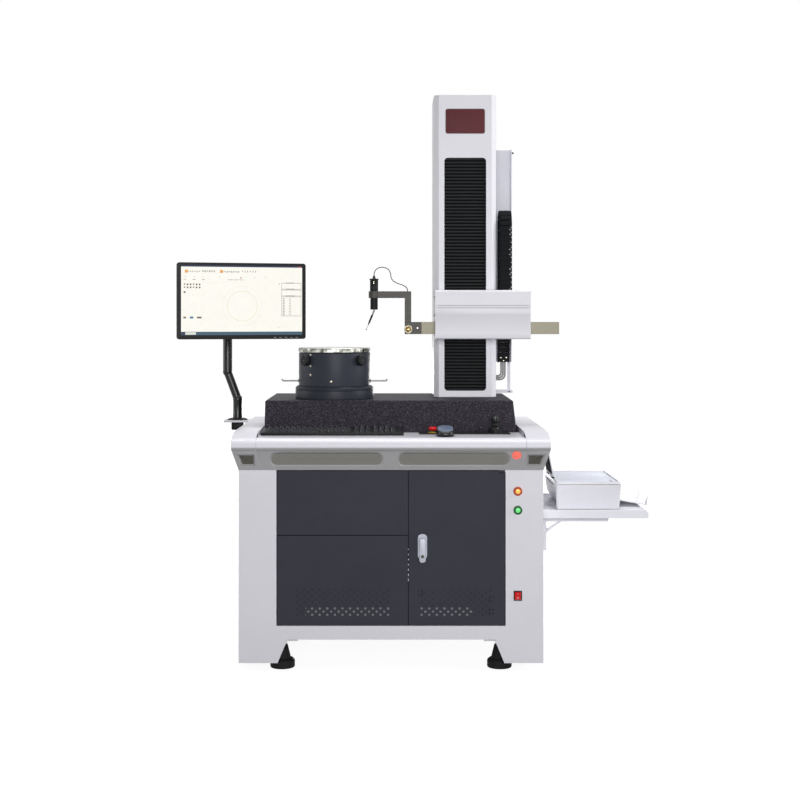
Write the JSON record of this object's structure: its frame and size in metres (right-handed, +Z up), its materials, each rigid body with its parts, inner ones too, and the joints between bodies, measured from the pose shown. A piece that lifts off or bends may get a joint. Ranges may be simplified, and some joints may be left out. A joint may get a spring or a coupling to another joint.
{
  "type": "roundness measuring instrument",
  "caption": "Station for measuring the roundness of turned parts: cabinet with console, granite base, rotary centring table, column with carriage and probe arm, monitor and folding shelf",
  "frame": {"origin": "on the floor under the centre of the cabinet", "axes": "X to the right as seen by the operator, Y away from the operator, Z up"},
  "size_m": [1.6447, 0.7433, 1.959],
  "materials": {
    "white_paint": "fine textured white paint",
    "dark_paint": "fine textured dark grey paint",
    "white_plastic": "moulded white",
    "grey_deck": "light grey",
    "granite": "honed speckled dark granite",
    "table_grey": "satin dark grey",
    "steel": "ground",
    "dark_steel": "blackened",
    "bellows_black": "pleated coated cloth",
    "display_red": "tinted dark red",
    "arm_khaki": "anodised khaki",
    "cable_grey": "smooth",
    "brass": "satin",
    "black_plastic": "moulded black",
    "screen": "lit display",
    "red": "moulded red",
    "amber": "moulded amber",
    "green": "moulded green",
    "yellow": "moulded yellow",
    "printer_grey": "moulded light grey",
    "inner_steel": "plain grey"
  },
  "bodies": {
    "stand": {"cabinet_frame": "white_paint", "rear_panel": "white_paint", "upper_front_panel": "dark_paint", "lower_front_panel": "dark_paint", "levelling_feet": "black_plastic", "console_front": "white_plastic", "console_ends": "white_plastic", "console_deck": "grey_deck", "control_panel": "grey_deck", "fascia_lamp": "red", "granite_base": "granite", "table_base": "table_grey", "column_housing": "white_paint", "guide_column": "inner_steel", "display_window": "display_red", "upper_bellows": "bellows_black", "lower_bellows": "bellows_black", "chain_channel": "white_paint", "drag_chain": "black_plastic", "chain_cables": "cable_grey", "monitor_clamp": "white_paint", "shelf_tray": "white_paint", "shelf_brackets": "white_paint", "printer_body": "printer_grey", "keyboard": "black_plastic", "mouse": "black_plastic", "switch_bezels": "black_plastic", "estop_base": "yellow", "computer_case": "black_plastic"},
    "carriage": {"carriage_cover": "white_paint", "carriage_saddle": "inner_steel"},
    "arm": {"measuring_arm": "arm_khaki", "arm_end_block": "dark_steel", "probe_bracket": "dark_steel", "probe_body": "dark_steel", "probe_cable": "cable_grey"},
    "stylus": {"stylus": "steel"},
    "clamp_knob": {"clamp_knob": "brass"},
    "door": {"door": "dark_paint", "latch_body": "steel"},
    "latch_handle": {"latch_handle": "steel"},
    "amber_button": {"amber_button": "amber"},
    "green_button": {"green_button": "green"},
    "rocker_switch": {"rocker_switch": "red"},
    "estop_button": {"estop_button": "red"},
    "joystick_gimbal": {"joystick_gimbal": "black_plastic"},
    "joystick": {"joystick": "black_plastic"},
    "speed_knob": {"speed_knob": "black_plastic"},
    "rotor": {"table_housing": "table_grey", "table_levers": "steel"},
    "cross_slide": {"cross_slide": "steel"},
    "work_table": {"work_table": "steel"},
    "centring_knob_left": {"centring_knob_left": "black_plastic"},
    "centring_knob_right": {"centring_knob_right": "black_plastic"},
    "monitor_lower": {"monitor_arm_lower": "black_plastic"},
    "monitor_upper": {"monitor_arm_upper": "black_plastic"},
    "monitor": {"monitor_housing": "black_plastic", "monitor_screen": "screen"},
    "paper_support": {"paper_support": "black_plastic"},
    "output_tray": {"output_tray": "printer_grey"}
  },
  "joints": [
    {"name": "vertical_slide", "type": "slide", "parent": "stand", "child": "carriage", "axis": [0, 0, 1], "range_m": [-0.05, 0.4], "deforming": ["upper_bellows", "lower_bellows", "drag_chain"]},
    {"name": "arm_slide", "type": "slide", "parent": "carriage", "child": "arm", "axis": [1, 0, 0], "range_m": [-0.105, 0.04]},
    {"name": "stylus_deflect", "type": "hinge", "parent": "arm", "child": "stylus", "pos_m": [-0.06, -0.005, 1.1856], "axis": [0, 1, 0], "range_deg": [-3, 3], "stiffness_Nm_per_rad": 0.05},
    {"name": "clamp_knob_turn", "type": "hinge", "parent": "arm", "child": "clamp_knob", "pos_m": [0.061, -0.02, 1.12], "axis": [0, -1, 0], "range_deg": [-180, 180]},
    {"name": "door_hinge", "type": "hinge", "parent": "stand", "child": "door", "pos_m": [0.3685, -0.345, 0.405], "axis": [0, 0, 1], "range_deg": [0, 110]},
    {"name": "latch_lift", "type": "hinge", "parent": "door", "child": "latch_handle", "pos_m": [0.103, -0.3603, 0.436], "axis": [-1, 0, 0], "range_deg": [0, 40]},
    {"name": "amber_press", "type": "slide", "parent": "stand", "child": "amber_button", "axis": [0, 1, 0], "range_m": [0, 0.003], "stiffness_N_per_m": 600},
    {"name": "green_press", "type": "slide", "parent": "stand", "child": "green_button", "axis": [0, 1, 0], "range_m": [0, 0.003], "stiffness_N_per_m": 600},
    {"name": "rocker_tilt", "type": "hinge", "parent": "stand", "child": "rocker_switch", "pos_m": [0.416, -0.348, 0.249], "axis": [1, 0, 0], "range_deg": [-8, 8]},
    {"name": "estop_press", "type": "slide", "parent": "stand", "child": "estop_button", "axis": [0, 0, -1], "range_m": [0, 0.004]},
    {"name": "joystick_side", "type": "hinge", "parent": "stand", "child": "joystick_gimbal", "pos_m": [0.354, -0.197, 0.7805], "axis": [0, 1, 0], "range_deg": [-15, 15], "stiffness_Nm_per_rad": 0.3},
    {"name": "joystick_fore", "type": "hinge", "parent": "joystick_gimbal", "child": "joystick", "pos_m": [0.354, -0.197, 0.7805], "axis": [1, 0, 0], "range_deg": [-15, 15], "stiffness_Nm_per_rad": 0.3},
    {"name": "speed_turn", "type": "hinge", "parent": "stand", "child": "speed_knob", "pos_m": [0.305, -0.197, 0.781], "axis": [0, 0, 1], "range_deg": [-135, 135]},
    {"name": "table_spin", "type": "hinge", "parent": "stand", "child": "rotor", "pos_m": [-0.2, -0.005, 0.98], "axis": [0, 0, 1], "continuous": true},
    {"name": "right_centring", "type": "slide", "parent": "rotor", "child": "cross_slide", "axis": [0.7071, -0.7071, 0], "range_m": [-0.003, 0.003]},
    {"name": "left_centring", "type": "slide", "parent": "cross_slide", "child": "work_table", "axis": [-0.7071, -0.7071, 0], "range_m": [-0.003, 0.003]},
    {"name": "right_knob_turn", "type": "hinge", "parent": "rotor", "child": "centring_knob_right", "pos_m": [-0.2, -0.005, 1.0129], "axis": [0.7071, -0.7071, 0], "range_deg": [-545, 545]},
    {"name": "left_knob_turn", "type": "hinge", "parent": "rotor", "child": "centring_knob_left", "pos_m": [-0.2, -0.005, 1.0129], "axis": [-0.7071, -0.7071, 0], "range_deg": [-545, 545]},
    {"name": "monitor_swivel", "type": "hinge", "parent": "stand", "child": "monitor_lower", "pos_m": [-0.566, 0.19, 0.792], "axis": [0, 0, 1], "range_deg": [-20, 20]},
    {"name": "monitor_elbow", "type": "hinge", "parent": "monitor_lower", "child": "monitor_upper", "pos_m": [-0.603, 0.19, 1.22], "axis": [0, 0, 1], "range_deg": [-25, 25]},
    {"name": "monitor_tilt", "type": "hinge", "parent": "monitor_upper", "child": "monitor", "pos_m": [-0.5431, 0.048, 1.22], "axis": [0.9593, 0.2823, 0], "range_deg": [-12, 12]},
    {"name": "support_fold", "type": "hinge", "parent": "stand", "child": "paper_support", "pos_m": [0.564, -0.0105, 0.605], "axis": [0, 1, 0], "range_deg": [0, 95]},
    {"name": "tray_fold", "type": "hinge", "parent": "stand", "child": "output_tray", "pos_m": [0.7913, -0.0105, 0.53], "axis": [0, -1, 0], "range_deg": [0, 80]}
  ],
  "couplings": [
    {"joint": "right_knob_turn", "follows": "right_centring", "rad_per_m": 3141.6},
    {"joint": "left_knob_turn", "follows": "left_centring", "rad_per_m": 3141.6}
  ]
}
